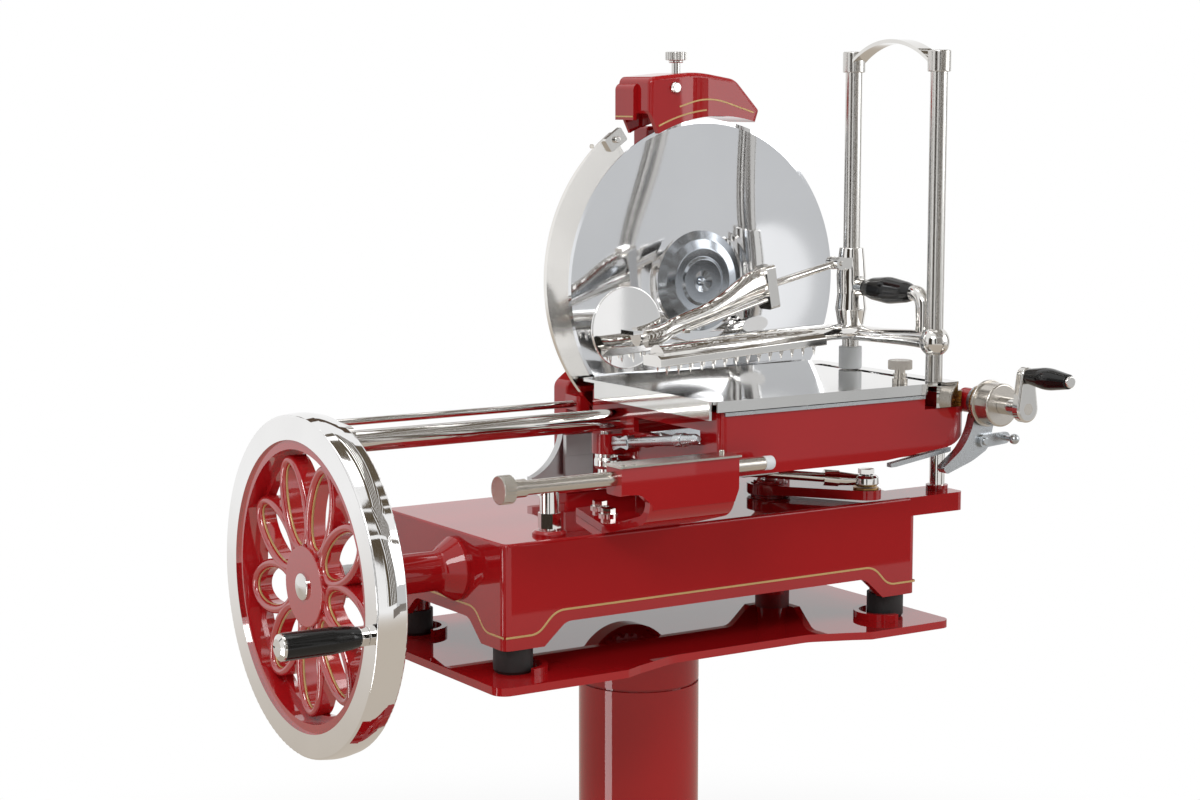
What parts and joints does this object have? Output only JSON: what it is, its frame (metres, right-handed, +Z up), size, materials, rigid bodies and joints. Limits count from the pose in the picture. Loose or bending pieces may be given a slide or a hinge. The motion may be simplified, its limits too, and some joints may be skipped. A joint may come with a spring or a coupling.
{
  "type": "hand crank meat slicer",
  "caption": "Flywheel driven meat slicer on a round pedestal, with a reciprocating clamp carriage, disc blade and sharpener.",
  "frame": {"origin": "floor level on the pedestal's axis", "axes": "+X to the right along the slide rails, +Y to the back towards the blade, +Z up"},
  "size_m": [0.837, 0.53, 1.383],
  "materials": {
    "red_enamel": "gloss",
    "black_rubber": "matt",
    "bronze": "satin",
    "chrome": "polished",
    "satin_steel": "satin",
    "black_grip": "gloss",
    "white_nylon": "satin",
    "blade_steel": "polished",
    "mirror_steel": "polished",
    "stone": "matt",
    "zinc": "satin"
  },
  "bodies": {
    "stand": {"base_casting": "red_enamel", "base_feet": "black_rubber", "stand_plate": "red_enamel", "stand_column": "red_enamel", "shaft_housing": "red_enamel", "drive_bushes": "bronze", "main_rail": "chrome", "tie_bar": "chrome", "front_rail": "chrome", "stop_bracket": "red_enamel", "bracket_screws": "chrome", "ruler_plate": "satin_steel", "knife_frame": "red_enamel", "frame_plates": "satin_steel", "chain_case": "red_enamel", "ring_guard": "mirror_steel", "sharpener_cover": "red_enamel", "sharpener_fittings": "chrome"},
    "flywheel": {"flywheel_rim": "chrome", "flywheel_web": "red_enamel", "flywheel_cap": "chrome", "main_shaft": "satin_steel", "handle_spindle": "chrome"},
    "wheel_handle": {"handle_grip": "black_grip"},
    "crank": {"crank_shaft": "satin_steel", "crank_lever": "red_enamel", "crank_pin": "bronze"},
    "con_rod": {"connecting_rod": "chrome"},
    "stop_rod": {"thickness_rod": "chrome", "thickness_tip": "white_nylon"},
    "stop_knob": {"thickness_knob": "chrome"},
    "cross_drive": {"cross_shaft": "satin_steel"},
    "knife": {"blade": "blade_steel", "blade_hub": "mirror_steel", "blade_shaft": "satin_steel"},
    "stone_press": {"sharpener_press": "chrome", "sharpener_stones": "stone"},
    "carriage": {"carriage_body": "red_enamel", "carriage_fittings": "zinc", "carriage_table": "mirror_steel", "rod_pivot_pin": "chrome"},
    "table_screw": {"table_knob": "chrome"},
    "pull_link": {"feed_link": "zinc"},
    "feed_drive": {"feed_screw": "satin_steel", "ratchet_gear": "bronze", "feed_crank": "mirror_steel"},
    "feed_handle": {"feed_grip": "black_grip"},
    "ratchet_arm": {"ratchet_lever": "zinc"},
    "meat_slide": {"cross_slide": "mirror_steel", "guide_posts": "mirror_steel", "post_handle": "mirror_steel", "post_collar": "white_nylon"},
    "clamp": {"clamp_arm": "chrome", "clamp_bracket": "chrome", "clamp_elbow": "chrome", "clamp_grip": "black_grip", "spike_plate": "chrome"},
    "press": {"press_strut": "chrome", "press_disc": "mirror_steel"}
  },
  "joints": [
    {"name": "flywheel_spin", "type": "hinge", "parent": "stand", "child": "flywheel", "pos_m": [-0.25, -0.047, 0.862], "axis": [1, 0, 0], "continuous": true},
    {"name": "wheel_handle_spin", "type": "hinge", "parent": "flywheel", "child": "wheel_handle", "pos_m": [-0.466, -0.188, 0.842], "axis": [1, 0, 0], "continuous": true},
    {"name": "crank_spin", "type": "hinge", "parent": "stand", "child": "crank", "pos_m": [0.136, -0.047, 0.9], "axis": [0, 0, 1], "continuous": true},
    {"name": "cross_shaft_spin", "type": "hinge", "parent": "stand", "child": "cross_drive", "pos_m": [0.058, 0.017, 0.862], "axis": [0, 1, 0], "continuous": true},
    {"name": "blade_spin", "type": "hinge", "parent": "stand", "child": "knife", "pos_m": [0.116, 0.047, 1.124], "axis": [0, 1, 0], "continuous": true},
    {"name": "carriage_slide", "type": "slide", "parent": "stand", "child": "carriage", "axis": [1, 0, 0], "range_m": [-0.195, 0.023]},
    {"name": "rod_swing", "type": "hinge", "parent": "carriage", "child": "con_rod", "pos_m": [-0.051, -0.015, 0.947], "axis": [0, 0, 1], "range_deg": [-4, 42.6]},
    {"name": "feed_crank_turn", "type": "hinge", "parent": "carriage", "child": "feed_drive", "pos_m": [0.291, -0.218, 1.007], "axis": [0, 1, 0], "range_deg": [-1, 4051]},
    {"name": "clamp_feed", "type": "slide", "parent": "carriage", "child": "meat_slide", "axis": [0, 1, 0], "range_m": [0, 0.045]},
    {"name": "feed_handle_spin", "type": "hinge", "parent": "feed_drive", "child": "feed_handle", "pos_m": [0.291, -0.308, 1.041], "axis": [0, 1, 0], "continuous": true},
    {"name": "ratchet_rock", "type": "hinge", "parent": "carriage", "child": "ratchet_arm", "pos_m": [0.291, -0.209, 1.007], "axis": [0, 1, 0], "range_deg": [-10, 10]},
    {"name": "clamp_lift", "type": "slide", "parent": "meat_slide", "child": "clamp", "axis": [0, 0, 1], "range_m": [-0.006, 0.18]},
    {"name": "press_tilt", "type": "hinge", "parent": "clamp", "child": "press", "pos_m": [0.2175, -0.055, 1.146], "axis": [0, 1, 0], "range_deg": [-2, 22]},
    {"name": "stone_press_push", "type": "slide", "parent": "stand", "child": "stone_press", "axis": [0, 0, 1], "range_m": [-0.008, 0], "stiffness_N_per_m": 400, "springref_m": 0.005},
    {"name": "thickness_knob_turn", "type": "hinge", "parent": "stop_rod", "child": "stop_knob", "pos_m": [-0.29, -0.218, 0.968], "axis": [1, 0, 0], "range_deg": [-1441, 865]},
    {"name": "thickness_set", "type": "slide", "parent": "stand", "child": "stop_rod", "axis": [1, 0, 0], "range_m": [-0.02, 0.012]},
    {"name": "table_knob_turn", "type": "hinge", "parent": "carriage", "child": "table_screw", "pos_m": [0.197, -0.188, 1.04], "axis": [0, 0, 1], "range_deg": [-90, 270]},
    {"name": "pull_link_slide", "type": "slide", "parent": "carriage", "child": "pull_link", "axis": [0, 0.9893, -0.1461], "range_m": [-0.012, 0.002]}
  ],
  "couplings": [
    {"joint": "crank_spin", "follows": "flywheel_spin", "ratio": -1},
    {"joint": "cross_shaft_spin", "follows": "flywheel_spin", "ratio": 1},
    {"joint": "blade_spin", "follows": "flywheel_spin", "ratio": 2.6},
    {"joint": "feed_crank_turn", "follows": "clamp_feed", "rad_per_m": 1570.8},
    {"joint": "thickness_knob_turn", "follows": "thickness_set", "rad_per_m": 1256.6}
  ]
}
